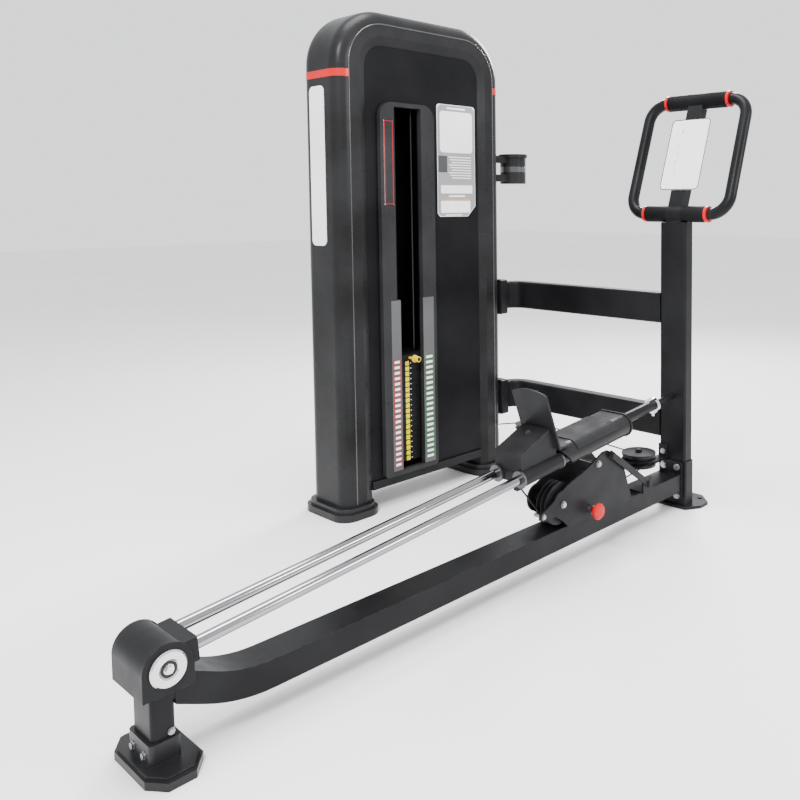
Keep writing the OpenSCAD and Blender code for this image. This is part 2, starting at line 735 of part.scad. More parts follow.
// Selector pin with its knob and yellow ring
module selector_pin() color([0.9, 0.75, 0.1]) {
    translate([stack_x, 0, head_z + plate_pitch / 2]) {
        translate([0, stack_y + 12, 0]) rotate([90, 0, 0]) cylinder(r = pin_r, h = 104, $fn = fine);
        translate([0, stack_y - 92, 0]) rotate([90, 0, 0]) cylinder(r = 13, h = 5, $fn = small);
        translate([0, stack_y - 96.9, 0]) rotate([90, 0, 0]) cylinder(r = 10, h = 20, $fn = small);
    }
}

// Fixed axles and spacers of the tower's pulleys
module top_pulley_axles() color([0.6, 0.6, 0.62]) {
    for (x = [guide_left_x, guide_right_x]) translate([x, 0, guide_z]) {
        translate([0, hoop_y + hoop_d / 2, 0]) cyl_y(6, hoop_d - 2 * hoop_wall);
        for (s = [-1, 1]) translate([0, stack_y + s * 14, 0]) difference() {
            cyl_y(10, 12);
            cyl_y(6, 14);
        }
    }
    translate([base_mid[0], base_mid[1], 0]) rotate([0, 0, exit_angle]) {
        translate([0, 0, idler_z + base_r]) cyl_y(6, 30);
        for (s = [-1, 1]) translate([0, s * 11.5, 0]) difference() {
            translate([-16, -3.5, post_z]) cube([32, 7, idler_z + base_r - post_z + 14]);
            translate([0, 0, idler_z + base_r]) cyl_y(6, 20);
        }
    }
}

// Cup holder: cup, two arms and a plate on the tower's side
module cup_holder() color([0.05, 0.05, 0.055]) {
    translate([hoop_mid + hoop_half + hoop_t, 808, 0]) {
        translate([0, -26, 1128]) cube([6, 52, 128]);
        for (z = [1138, 1212]) translate([5, -14, z]) cube([87, 28, 28]);
        translate([140, 0, 1130]) difference() {
            union() {
                cylinder(r = 52, h = 110, $fn = fine);
                translate([0, 0, 104]) cylinder(r = 58, h = 14, $fn = fine);
            }
            translate([0, 0, 5]) cylinder(r = 47, h = 140, $fn = fine);
        }
    }
}

// ---------- Cable ----------

// Points of an arc in the XZ plane at depth y, and in a level plane at height z
function arc_xz(c, y, r, a0, a1, n) =
    [for (i = [0:n]) let (p = c + polar(r, a0 + (a1 - a0) * i / n)) [p[0], y, p[1]]];
function arc_xy(c, z, r, a0, a1, n) =
    [for (i = [0:n]) let (p = c + polar(r, a0 + (a1 - a0) * i / n)) [p[0], p[1], z]];
function arc_base(n) = [for (i = [0:n]) let (a = 180 + 90 * i / n) [
    base_mid[0] + base_r * cos(a) * cos(exit_angle),
    base_mid[1] + base_r * cos(a) * sin(exit_angle),
    idler_z + base_r + base_r * sin(a)
]];
cable_path = concat(
    arc_xz([guide_left_x, guide_z], stack_y, guide_r, 180, 90, 6),
    arc_xz([guide_right_x, guide_z], stack_y, guide_r, 90, 0, 6),
    arc_base(6),
    arc_xy([idler_x, idler_y], idler_z, turn_r, idler_in, turn_line, 6),
    arc_xy([turn_x, turn_y], turn_z, turn_r, turn_line, -90, 7),
    arc_xz([wheel_x, wheel_z], groove_y, wheel_r, wheel_in, wheel_out, 7)
);
module cable_run() color([0.02, 0.02, 0.02]) sweep(cable_path, cable_r);

wheel_end = [wheel_x, wheel_z] + polar(wheel_r, wheel_out);
module carriage_cable() color([0.02, 0.02, 0.02]) {
    run = [lug_x, lug_z] - wheel_end;
    translate([wheel_end[0], groove_y, wheel_end[1]]) rotate([0, 90 - atan2(run[1], run[0]), 0])
        translate([0, 0, 1]) cylinder(r = cable_r, h = norm(run) - 12, $fn = small);
}

module stack_cable() color([0.02, 0.02, 0.02]) {
    translate([stack_x, stack_y, head_z + 44]) cylinder(r = cable_r, h = guide_z - head_z - 45, $fn = small);
}

// ---------- Carriage ----------

// Two bearing tubes, the block between them and the lug that holds the cable's end
module bearing_tubes() color([0.07, 0.07, 0.08]) {
    on_rail() difference() {
        union() {
            for (s = [-1, 1]) translate([bearing_len / 2, s * rod_gap / 2, 0])
                cyl_x(bearing_r, bearing_len - 12);
            translate([6, -22, -14]) cube([bearing_len - 12, 44, 28]);
            translate([lug_u - 14, groove_y - 8, lug_w - 8]) cube([28, 16, -lug_w]);
        }
        for (s = [-1, 1]) translate([bearing_len / 2, s * rod_gap / 2, 0]) cyl_x(rod_r + 4, bearing_len);
    }
}

// Light end rings with bushings that run on the rods, and the bolt on the gusset
module bearing_rings() color([0.7, 0.7, 0.72]) {
    on_rail() for (s = [-1, 1], e = [-1, 1])
        translate([bearing_len / 2, s * rod_gap / 2, 0]) rotate([0, 90 * e, 0]) difference() {
            union() {
                translate([0, 0, bearing_len / 2 - 6]) cylinder(r = bearing_r + 1, h = 6, $fn = fine);
                translate([0, 0, bearing_len / 2 - 30]) cylinder(r = rod_r + 4, h = 26, $fn = fine);
            }
            cylinder(r = rod_r + 0.08, h = bearing_len, $fn = fine);
        }
    on_rail() translate([95, 0, gusset_low[1] + (95 - gusset_low[0]) * tan(gusset_tilt)])
        rotate([0, -gusset_tilt, 0]) bolt_head(4.5);
}

// Black sleeves behind the bearings
module rod_sleeves() color([0.04, 0.04, 0.04]) {
    on_rail() for (s = [-1, 1]) translate([bearing_len, s * rod_gap / 2, 0]) rotate([0, 90, 0]) difference() {
        cylinder(r = 18, h = 112, $fn = fine);
        translate([0, 0, -1]) cylinder(r = rod_r + 1, h = 120, $fn = fine);
    }
}

// Foot plate with its lip and the wedge-shaped gusset in front of it
plate_foot = [151, 44.7];
gusset_low = [8, 66];
gusset_high = [128.6, 104.2];
gusset_tilt = atan2(gusset_high[1] - gusset_low[1], gusset_high[0] - gusset_low[0]);
plate_high = 165;
plate_arch = 14;
module foot_plate() color([0.06, 0.06, 0.065]) {
    half = foot_plate_w / 2;
    arch_r = (half * half + plate_arch * plate_arch) / (2 * plate_arch);
    on_rail() {
        difference() {
            translate([0, -50, 0]) along_y(100)
                polygon([[8, 14], gusset_low, gusset_high, plate_foot, [151, 14]]);
            for (s = [-1, 1]) translate([bearing_len / 2, s * rod_gap / 2, 0])
                cyl_x(bearing_r, bearing_len);
            translate([14, -44, 0]) cube([124, 88, 44]);
        }
        translate([plate_foot[0], 0, plate_foot[1]]) rotate([0, -foot_plate_lean, 0]) translate([-3, 0, 0])
            along_x(6) intersection() {
                translate([-half, 0]) square([foot_plate_w, plate_high + plate_arch]);
                translate([0, plate_high + plate_arch - arch_r]) circle(arch_r, $fn = 180);
            }
        translate([plate_foot[0] - 3, -half, plate_foot[1] - 5.7]) cube([44, foot_plate_w, 6]);
    }
}

// Round-sided shell behind the foot plate, with a raked front and a guide plate inside its rear end
bed_front = 154;
bed_rake = 0.9;          // the front edge slopes back by this much per unit of depth
module foot_bed() color([0.06, 0.06, 0.065]) {
    end = rail_rear - 2;
    on_rail() translate([0, 0, bed_lift]) {
        difference() {
            translate([bed_front, 0, 0]) along_x(end - bed_front) difference() {
                stadium(bed_w, bed_h);
                stadium(bed_w - 8, bed_h - 8);
            }
            translate([0, -bed_w, 0]) along_y(2 * bed_w)
                polygon([
                    [bed_front - 5 * bed_rake, bed_h / 2 + 5], [bed_front - 30, -bed_h / 2 - 10],
                    [bed_front + (bed_h + 10) * bed_rake, -bed_h / 2 - 10]
                ]);
        }
        translate([end - 26, 0, 0]) difference() {
            along_x(8) stadium(bed_w - 7, bed_h - 7);
            for (s = [-1, 1]) translate([0, s * rod_gap / 2, -bed_lift]) cyl_x(rod_r + 0.08, 40);
        }
    }
}

// Ribbed mat on top of the foot bed
module bed_mat() color([0.2, 0.2, 0.21]) {
    on_rail() translate([226, 0, bed_lift]) along_x(190) intersection() {
        difference() {
            stadium(bed_w + 6, bed_h + 6);
            stadium(bed_w, bed_h);
        }
        translate([-52, 10]) square([104, 60]);
    }
}

// ---------- Pulleys ----------

module big_pulley() color([0.5, 0.5, 0.52])
    translate([wheel_x, wheel_mid, wheel_z]) rotate([90, 0, 0]) pulley(wheel_r, 61, 34, 6.05, 2, wheel_pitch);

module column_pulley() color([0.5, 0.5, 0.52])
    translate([turn_x, turn_y, turn_mid]) pulley(turn_r, 57, 44, 6.05, 2, turn_pitch);

module idler_pulley() color([0.5, 0.5, 0.52])
    translate([idler_x, idler_y, idler_z]) pulley(turn_r, 55, 16, 6.05, 1, 0);

module base_pulley() color([0.5, 0.5, 0.52])
    translate([base_mid[0], base_mid[1], idler_z + base_r]) rotate([90, 0, exit_angle])
        pulley(base_r, 33, 14, 6.05, 1, 0);

module left_pulley() color([0.5, 0.5, 0.52])
    translate([guide_left_x, stack_y, guide_z]) rotate([90, 0, 0]) pulley(guide_r, 40, 14, 6.05, 1, 0);

module right_pulley() color([0.5, 0.5, 0.52])
    translate([guide_right_x, stack_y, guide_z]) rotate([90, 0, 0]) pulley(guide_r, 40, 14, 6.05, 1, 0);

// Spring pin with a mushroom knob
module lock_knob() color([0.8, 0.06, 0.06]) {
    translate([lock_x, 0, lock_z]) rotate([90, 0, 0]) {
        translate([0, 0, plate_in - 8]) cylinder(r = lock_r, h = 30, $fn = fine);
        rotate_extrude($fn = fine)
            polygon([[0, 66], [9, 66], [9, 73], [20, 76], [24, 81], [24, 88], [18, 94], [0, 96]]);
    }
}

// ---------- Handle ----------

grip_r = 28;
grip_end = 118;
corner_r = 66;
collar_half = 30;

// Places its children in the handle's leaning frame, on the loop's lower tube
module on_handle() translate([0, 0, 1012]) rotate([0, handle_lean, 0]) children();

module handle_loop() color([0.05, 0.05, 0.055]) {
    half = loop_w / 2;
    on_handle() {
        for (z = [0, loop_h]) translate([0, 0, z]) difference() {
            cyl_y(loop_r, loop_w - 2 * corner_r);
            cyl_y(loop_r - tube_wall, loop_w);
        }
        for (s = [-1, 1]) translate([0, s * half, corner_r]) linear_extrude(loop_h - 2 * corner_r) difference() {
            circle(loop_r, $fn = fine);
            circle(loop_r - tube_wall, $fn = fine);
        }
        for (k = [0:3])
            translate([0, (k == 0 || k == 3 ? 1 : -1) * (half - corner_r), k < 2 ? loop_h - corner_r : corner_r])
                rotate([90, 0, 90]) rotate([0, 0, 90 * k]) rotate_extrude(angle = 90, $fn = fine)
                    translate([corner_r, 0]) difference() {
                        circle(loop_r, $fn = fine);
                        circle(loop_r - tube_wall, $fn = fine);
                    }
    }
}

// Clamp on the column's top and the box stem inside the loop
module handle_stem() color([0.07, 0.07, 0.08]) {
    difference() {
        union() {
            on_handle() {
                cyl_y(grip_r - 0.5, 2 * collar_half);
                translate([-18, -29, 0]) cube([36, 58, loop_h]);
            }
            translate([-20, -collar_half, column_top]) cube([40, 2 * collar_half, 28]);
        }
        on_handle() {
            cyl_y(loop_r, 200);
            translate([0, 0, loop_h]) cyl_y(grip_r + 0.5, 200);
        }
    }
}

// Ribbed grips on the loop's upper and lower tubes
module handle_grips() color([0.03, 0.03, 0.03]) on_handle() {
    for (s = [-1, 1]) translate([0, s * (grip_end + collar_half) / 2, 0]) difference() {
        cyl_y(grip_r, grip_end - collar_half);
        cyl_y(loop_r, 200);
    }
    translate([0, 0, loop_h]) difference() {
        cyl_y(grip_r, 2 * grip_end);
        cyl_y(loop_r, 300);
    }
}

main_beam();
front_leg();
front_foot();
column();
column_foot();
frame_bolts();
cross_tubes();
cross_sockets();
hub_plates();
hub_cover();
hub_axle();
hub_caps();
rail_block();
rail_rods();
rear_end_plate();
rail_strut();
strut_collar();
side_plates();
pulley_base();
pulley_fixings();
brace_bar();
brace_bracket();
column_pulley_bracket();
idler_bracket();
tower_hoop();
tower_feet();
tower_bars();
front_cover();
rear_cover();
stack_bezel();
value_bands();
red_marks();
green_marks();
white_plates();
accent_rings();
guide_rods();
weight_plates();
top_pulley_axles();
cup_holder();
cable_run();
carriage_cable();
stack_cable();
bearing_tubes();
bearing_rings();
rod_sleeves();
foot_plate();
foot_bed();
bed_mat();
big_pulley();
column_pulley();
idler_pulley();
base_pulley();
left_pulley();
right_pulley();
head_plate();
selector_pin();
lock_knob();
handle_loop();
handle_stem();
handle_grips();
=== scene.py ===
"""Looks of the standing glute press.

Finishes for the CAD nodes, foam grips, foot mat, cables, printed plates, small trim, studio and camera.
"""

import math

import bmesh
import bpy
from mathutils import Matrix, Vector


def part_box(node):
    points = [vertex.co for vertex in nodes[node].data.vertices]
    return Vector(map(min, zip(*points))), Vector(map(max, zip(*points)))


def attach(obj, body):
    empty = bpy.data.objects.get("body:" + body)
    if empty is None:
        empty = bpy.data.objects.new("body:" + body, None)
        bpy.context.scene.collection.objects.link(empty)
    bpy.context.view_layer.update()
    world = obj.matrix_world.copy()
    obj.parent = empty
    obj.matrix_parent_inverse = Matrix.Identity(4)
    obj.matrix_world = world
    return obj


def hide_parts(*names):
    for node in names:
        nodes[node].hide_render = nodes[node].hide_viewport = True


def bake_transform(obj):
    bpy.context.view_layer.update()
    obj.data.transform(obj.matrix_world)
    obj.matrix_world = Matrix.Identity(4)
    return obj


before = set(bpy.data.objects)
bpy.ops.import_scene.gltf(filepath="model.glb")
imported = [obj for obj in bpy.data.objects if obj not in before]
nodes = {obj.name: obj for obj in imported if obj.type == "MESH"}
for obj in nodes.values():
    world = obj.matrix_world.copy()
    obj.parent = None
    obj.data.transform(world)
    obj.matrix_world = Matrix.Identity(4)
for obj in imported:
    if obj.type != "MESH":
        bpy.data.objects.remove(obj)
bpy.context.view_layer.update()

# ---------- Places that several pieces share ----------


def middle(node):
    """The middle of a CAD node's box."""
    low, high = (Vector(corner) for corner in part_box(node))
    return (low + high) / 2


rail_slope = math.radians(5.5)
rail = Matrix.Translation((-0.840, 0, 0.308)) @ Matrix.Rotation(-rail_slope, 4, "Y")
handle = Matrix.Translation((0, 0, 1.012)) @ Matrix.Rotation(math.radians(19.8), 4, "Y")
bezel_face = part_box("value_bands")[0][1]
cover_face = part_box("front_cover")[0][1]

# ---------- Materials ----------


class Finish:
    """A Principled material built up in steps from object-space noise."""

    def __init__(self, name, colour, roughness, metallic=0.0, coat=0.0, shine=0.11):
        self.material = bpy.data.materials.new(name)
        self.material.use_nodes = True
        self.tree = self.material.node_tree
        self.shader = self.tree.nodes["Principled BSDF"]
        self.shader.inputs["Metallic"].default_value = metallic
        self.shader.inputs["Coat Weight"].default_value = coat
        self.shader.inputs["Coat Roughness"].default_value = 0.15
        self.shader.inputs["Specular IOR Level"].default_value = shine
        self.place = self.node("ShaderNodeTexCoord").outputs["Object"]
        self.colour = colour
        self.roughness = roughness

    def node(self, kind, **settings):
        made = self.tree.nodes.new(kind)
        for key, value in settings.items():
            setattr(made, key, value)
        return made

    def link(self, source, target):
        self.tree.links.new(source, target)

    def noise(self, scale, detail=3.0, stretch=(1, 1, 1)):
        """A noise value from 0 to 1, stretched along the row's axes."""
        mapping = self.node("ShaderNodeMapping")
        mapping.inputs["Scale"].default_value = stretch
        self.link(self.place, mapping.inputs["Vector"])
        noise = self.node("ShaderNodeTexNoise")
        noise.inputs["Scale"].default_value = scale
        noise.inputs["Detail"].default_value = detail
        self.link(mapping.outputs["Vector"], noise.inputs["Vector"])
        return noise.outputs["Fac"]

    def ramp(self, source, low, high, start, end):
        """source between low and high, spread over start to end."""
        node = self.node("ShaderNodeMapRange")
        for socket, value in zip(("From Min", "From Max", "To Min", "To Max"), (low, high, start, end)):
            node.inputs[socket].default_value = value
        self.link(source, node.inputs["Value"])
        return node.outputs["Result"]

    def mix(self, factor, first, second):
        """A colour between first, a colour or a socket, and second."""
        node = self.node("ShaderNodeMix", data_type="RGBA")
        self.link(factor, node.inputs["Factor"])
        for socket, value in ((node.inputs[6], first), (node.inputs[7], second)):
            if isinstance(value, bpy.types.NodeSocket):
                self.link(value, socket)
            else:
                socket.default_value = (*value, 1)
        return node.outputs[2]

    def edges(self, radius):
        """1 on convex or concave edges within radius, 0 on flat faces."""
        bevel = self.node("ShaderNodeBevel", samples=4)
        bevel.inputs["Radius"].default_value = radius
        flat = self.node("ShaderNodeNewGeometry")
        dot = self.node("ShaderNodeVectorMath", operation="DOT_PRODUCT")
        self.link(bevel.outputs["Normal"], dot.inputs[0])
        self.link(flat.outputs["Normal"], dot.inputs[1])
        return self.ramp(dot.outputs["Value"], 0.97, 0.80, 0.0, 1.0)

    def finish(self, spread=0.35, patch=5.0, grain=900.0, bump=0.12, depth=0.0003, wear=None, edge=0.0015):
        """Joins colour variation, roughness variation, surface grain and edge wear to the shader."""
        dark = [value * (1 - spread) for value in self.colour]
        light = [min(1, value * (1 + spread)) for value in self.colour]
        patches = self.ramp(self.noise(patch, 4), 0.35, 0.65, 0, 1)
        colour = self.mix(patches, dark, light)
        if wear:
            scratches = self.ramp(self.noise(60, 5), 0.42, 0.62, 0, 1)
            amount = self.node("ShaderNodeMath", operation="MULTIPLY")
            self.link(self.edges(edge), amount.inputs[0])
            self.link(scratches, amount.inputs[1])
            colour = self.mix(amount.outputs["Value"], colour, wear)
        self.link(colour, self.shader.inputs["Base Color"])
        smudge = self.ramp(self.noise(18, 5), 0.3, 0.7, self.roughness * 0.85, min(1, self.roughness * 1.2))
        self.link(smudge, self.shader.inputs["Roughness"])
        bumps = self.node("ShaderNodeBump")
        bumps.inputs["Strength"].default_value = bump
        bumps.inputs["Distance"].default_value = depth
        self.link(self.noise(grain, 2), bumps.inputs["Height"])
        bevel = self.node("ShaderNodeBevel", samples=4)
        bevel.inputs["Radius"].default_value = edge
        self.link(bevel.outputs["Normal"], bumps.inputs["Normal"])
        self.link(bumps.outputs["Normal"], self.shader.inputs["Normal"])
        return self.material

    def brushed(self, stretch, scale=220, strength=0.05):
        """Fine scratches along one axis, for chrome and bare metal."""
        marks = self.noise(scale, 3, stretch)
        gloss = self.ramp(marks, 0.3, 0.7, self.roughness * 0.7, self.roughness * 1.5)
        self.link(gloss, self.shader.inputs["Roughness"])
        shade = self.ramp(self.noise(9, 3), 0.3, 0.7, 0, 1)
        low = [value * 0.88 for value in self.colour]
        self.link(self.mix(shade, low, self.colour), self.shader.inputs["Base Color"])
        bumps = self.node("ShaderNodeBump")
        bumps.inputs["Strength"].default_value = strength
        bumps.inputs["Distance"].default_value = 0.0002
        self.link(marks, bumps.inputs["Height"])
        self.link(bumps.outputs["Normal"], self.shader.inputs["Normal"])
        return self.material


worn = (0.07, 0.07, 0.072)
frame_paint = Finish("frame_paint", (0.0075, 0.0075, 0.0085), 0.34).finish(wear=worn, grain=700, bump=0.2)
plate_paint = Finish("plate_paint", (0.0100, 0.0100, 0.0112), 0.40).finish(wear=worn, grain=500, bump=0.25)
shell_plastic = Finish("shell_plastic", (0.0125, 0.0125, 0.0130), 0.30).finish(
    grain=420, bump=0.16, edge=0.001,
)
cover_plastic = Finish("cover_plastic", (0.0050, 0.0050, 0.0060), 0.42, shine=0.08).finish(
    grain=380, bump=0.2,
)
bezel_plastic = Finish("bezel_plastic", (0.022, 0.022, 0.023), 0.30).finish(
    spread=0.2, grain=300, bump=0.08, edge=0.001,
)
foot_rubber = Finish("foot_rubber", (0.0090, 0.0090, 0.0098), 0.34, shine=0.25).finish(grain=300, bump=0.25)
grip_rubber = Finish("grip_rubber", (0.0065, 0.0065, 0.0072), 0.60, shine=0.08).finish(
    grain=260, bump=0.45, depth=0.0006,
)
mat_rubber = Finish("mat_rubber", (0.016, 0.016, 0.0175), 0.58).finish(grain=240, bump=0.4)
pulley_nylon = Finish("pulley_nylon", (0.0125, 0.0125, 0.0140), 0.34).finish(grain=200, bump=0.1)
cast_iron = Finish("cast_iron", (0.012, 0.012, 0.0128), 0.48).finish(
    wear=worn, grain=350, bump=0.4, edge=0.001,
)
cable_coat = Finish("cable_coat", (0.007, 0.007, 0.007), 0.30).finish(grain=900, bump=0.1, edge=0.0003)
value_grey = Finish("value_grey", (0.085, 0.086, 0.088), 0.42).finish(spread=0.12, grain=300, bump=0.08)
label_red = Finish("label_red", (0.46, 0.012, 0.018), 0.38).finish(spread=0.15, grain=300, bump=0.06)
signal_red = Finish("signal_red", (0.46, 0.005, 0.007), 0.30, coat=0.2).finish(
    spread=0.12, grain=260, bump=0.08,
)
label_green = Finish("label_green", (0.018, 0.20, 0.035), 0.38).finish(spread=0.15, grain=300, bump=0.06)
label_white = Finish("label_white", (0.86, 0.86, 0.87), 0.36).finish(spread=0.05, grain=200, bump=0.05)
plate_white = Finish("plate_white", (0.84, 0.84, 0.85), 0.30, coat=0.2).finish(
    spread=0.05, grain=180, bump=0.04,
)
plate_grey = Finish("plate_grey", (0.26, 0.262, 0.27), 0.36).finish(spread=0.08, grain=220, bump=0.05)
value_pale = Finish("value_pale", (0.62, 0.62, 0.63), 0.40).finish(spread=0.06, grain=200, bump=0.05)
print_grey = Finish("print_grey", (0.06, 0.06, 0.065), 0.45).finish(spread=0.1, grain=220, bump=0.05)
print_orange = Finish("print_orange", (0.75, 0.28, 0.03), 0.40).finish(spread=0.1, grain=220, bump=0.05)
print_yellow = Finish("print_yellow", (0.80, 0.70, 0.01), 0.38).finish(spread=0.1, grain=220, bump=0.05)
pin_yellow = Finish("pin_yellow", (0.75, 0.50, 0.02), 0.32, coat=0.2).finish(spread=0.1, grain=240, bump=0.06)
# Lighter glossy grey; on the tower bead this grey is a painted highlight along the arch's edge.
trim_grey_and_painted_highlight = Finish("trim_grey_and_painted_highlight", (0.030, 0.031, 0.033), 0.20, coat=0.5, shine=0.5).finish(
    spread=0.1, grain=400, bump=0.05,
)
chrome = Finish("chrome", (0.30, 0.30, 0.31), 0.08, metallic=1).brushed((6, 60, 60))
zinc = Finish("zinc", (0.34, 0.34, 0.35), 0.28, metallic=1).brushed((1, 1, 1), 400, 0.1)
cap_chrome = Finish("cap_chrome", (0.66, 0.66, 0.67), 0.12, metallic=1).brushed((1, 1, 1), 300, 0.05)
rod_steel = Finish("rod_steel", (0.05, 0.05, 0.053), 0.24, metallic=1).brushed((30, 30, 3))
ring_metal = Finish("ring_metal", (0.10, 0.10, 0.105), 0.30, metallic=0.8).brushed((1, 1, 1), 300, 0.08)

NODE_FINISHES = {
    frame_paint: (
        "main_beam", "front_leg", "column", "cross_tubes", "handle_loop", "rail_strut",
        "column_pulley_bracket", "idler_bracket", "pulley_base", "tower_bars",
    ),
    plate_paint: (
        "column_foot", "hub_plates", "hub_cover", "rail_block", "side_plates", "brace_bar", "brace_bracket",
        "handle_stem", "foot_plate", "bearing_tubes", "cross_sockets",
    ),
    shell_plastic: ("tower_hoop", "foot_bed", "rear_end_plate", "cup_holder"),
    cover_plastic: ("front_cover", "rear_cover"),
    bezel_plastic: ("stack_bezel",),
    foot_rubber: ("tower_feet", "front_foot", "rod_sleeves"),
    pulley_nylon: (
        "big_pulley", "column_pulley", "idler_pulley", "base_pulley", "left_pulley", "right_pulley",
    ),
    cast_iron: ("weight_plates", "head_plate"),
    value_grey: ("value_bands",),
    label_red: ("red_marks",),
    label_green: ("green_marks",),
    plate_white: ("white_plates",),
    signal_red: ("accent_rings", "lock_knob"),
    pin_yellow: ("selector_pin",),
    chrome: ("rail_rods",),
    cap_chrome: ("hub_caps", "strut_collar"),
    rod_steel: ("guide_rods",),
    zinc: ("frame_bolts", "hub_axle", "pulley_fixings", "top_pulley_axles"),
    ring_metal: ("bearing_rings",),
}
for finish, names in NODE_FINISHES.items():
    for name in names:
        node = nodes[name]
        node.data.materials.clear()
        node.data.materials.append(finish)

# ---------- Mesh helpers ----------


def piece(name, vertices, faces, finish, slot, body="frame", smooth=30):
    """A mesh piece in row coordinates that rides on a body."""
    mesh = bpy.data.meshes.new(name)
    mesh.from_pydata([tuple(v) for v in vertices], [], faces)
    edit = bmesh.new()
    edit.from_mesh(mesh)
    bmesh.ops.recalc_face_normals(edit, faces=edit.faces)
    edit.to_mesh(mesh)
    edit.free()
    if smooth:
        mesh.shade_smooth()
        mesh.set_sharp_from_angle(angle=math.radians(smooth))
    made = bpy.data.objects.new(name, mesh)
    bpy.context.collection.objects.link(made)
    mesh.materials.append(finish)
    if body:
        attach(made, body)
    return made


def lathe(profile, place, steps=64):
    """Vertices and faces of a closed profile of (radius, height) turned about place's Z axis."""
    count = len(profile)
    vertices = [
        place @ Vector((r * math.cos(a), r * math.sin(a), h))
        for a in (2 * math.pi * i / steps for i in range(steps))
        for r, h in profile
    ]
    faces = [
        (i * count + k, i * count + (k + 1) % count,
         (i + 1) % steps * count + (k + 1) % count, (i + 1) % steps * count + k)
        for i in range(steps)
        for k in range(count)
    ]
    return vertices, faces


def extrude(outline, place, thickness):
    """Vertices and faces of a flat outline in place's XY plane, made solid along its Z axis."""
    count = len(outline)
    vertices = [place @ Vector((x, y, z)) for z in (0, thickness) for x, y in outline]
    faces = [tuple(range(count)), tuple(range(count, 2 * count))]
    faces += [(k, (k + 1) % count, count + (k + 1) % count, count + k) for k in range(count)]
    return vertices, faces


def rounded(width, height, radius, steps=6):
    """Outline of a rectangle with round corners, about its middle."""
    corners = ((1, 1, 0), (-1, 1, 90), (-1, -1, 180), (1, -1, 270))
    return [
        (sx * (width / 2 - radius) + radius * math.cos(math.radians(start + 90 * i / steps)),
         sy * (height / 2 - radius) + radius * math.sin(math.radians(start + 90 * i / steps)))
        for sx, sy, start in corners
        for i in range(steps + 1)
    ]


def soften(made, width, segments=3):
    """A small rounding on a piece's sharp edges."""
    bevel = made.modifiers.new("soften", "BEVEL")
    bevel.width = width
    bevel.segments = segments
    bevel.limit_method = "ANGLE"
    bevel.angle_limit = math.radians(35)
    bevel.harden_normals = False


def sweep(points, radius, sides=20):
    """Vertices and faces of a round tube along a list of points."""
    points = [Vector(p) for p in points]
    last = len(points) - 1
    headings = [(points[min(i + 1, last)] - points[max(i - 1, 0)]).normalized() for i in range(last + 1)]
    side = headings[0].orthogonal().normalized()
    vertices = []
    for point, heading in zip(points, headings):
        side = (side - side.dot(heading) * heading).normalized()
        other = heading.cross(side)
        for k in range(sides):
            a = 2 * math.pi * k / sides
            vertices.append(point + radius * (math.cos(a) * side + math.sin(a) * other))
    faces = [
        (i * sides + k, i * sides + (k + 1) % sides, (i + 1) * sides + (k + 1) % sides, (i + 1) * sides + k)
        for i in range(last)
        for k in range(sides)
    ]
    faces.append(tuple(range(sides)))
    faces.append(tuple(range(len(vertices) - sides, len(vertices))))
    return vertices, faces


def straight(start, end, steps):
    """Evenly spaced points from start to end."""
    start, end = Vector(start), Vector(end)
    return [start.lerp(end, i / steps) for i in range(steps + 1)]


# ---------- Rounded edges on the beam ----------

beam_rounding = 0.016
soften(nodes["main_beam"], beam_rounding, 6)


def beam_end():
    """Closes the rounded front end of the beam against the leg."""
    height, width, corner = 0.0594, 0.0816, 0.015
    inside, length = 0.045, 0.061
    rise = math.radians(25)
    place = Matrix.Translation((-1.777, 0, 0.152)) @ Matrix.Rotation(-math.pi / 2 + rise, 4, "Y")
    place = place @ Matrix.Translation((0, 0, -inside))
    piece("beam_end", *extrude(rounded(height, width, corner), place, length), frame_paint, "black_steel")


beam_end()

# ---------- Grips ----------


def grip(name, place, length, inner=0.0202, outer=0.0278):
    """A foam grip with fine rings and rolled ends."""
    rolled = 0.005
    rings = int(length / 0.004)
    profile = [(inner, -length / 2), (outer - rolled, -length / 2)]
    profile += [
        (outer - rolled + rolled * math.sin(a), -length / 2 + rolled - rolled * math.cos(a))
        for a in (math.pi / 2 * i / 5 for i in range(1, 6))
    ]
    for i in range(4 * rings + 1):
        run = i / (4 * rings)
        height = -length / 2 + rolled + (length - 2 * rolled) * run
        profile.append((outer - 0.0004 * (1 + math.cos(2 * math.pi * rings * run)), height))
    profile += [
        (outer - rolled + rolled * math.cos(a), length / 2 - rolled + rolled * math.sin(a))
        for a in (math.pi / 2 * i / 5 for i in range(0, 6))
    ]
    profile.append((inner, length / 2))
    made = piece(name, *lathe(profile, place), grip_rubber, "rubber", smooth=60)
    return made


loop_height = 0.418
grip_end = 0.118
across = Matrix.Rotation(math.radians(90), 4, "X")
for name, height in (("grip_low", 0), ("grip_high", loop_height)):
    made = grip(name, handle @ Matrix.Translation((0, 0, height)) @ across, 2 * grip_end)
    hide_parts("handle_grips")

# ---------- Foot bed mat ----------


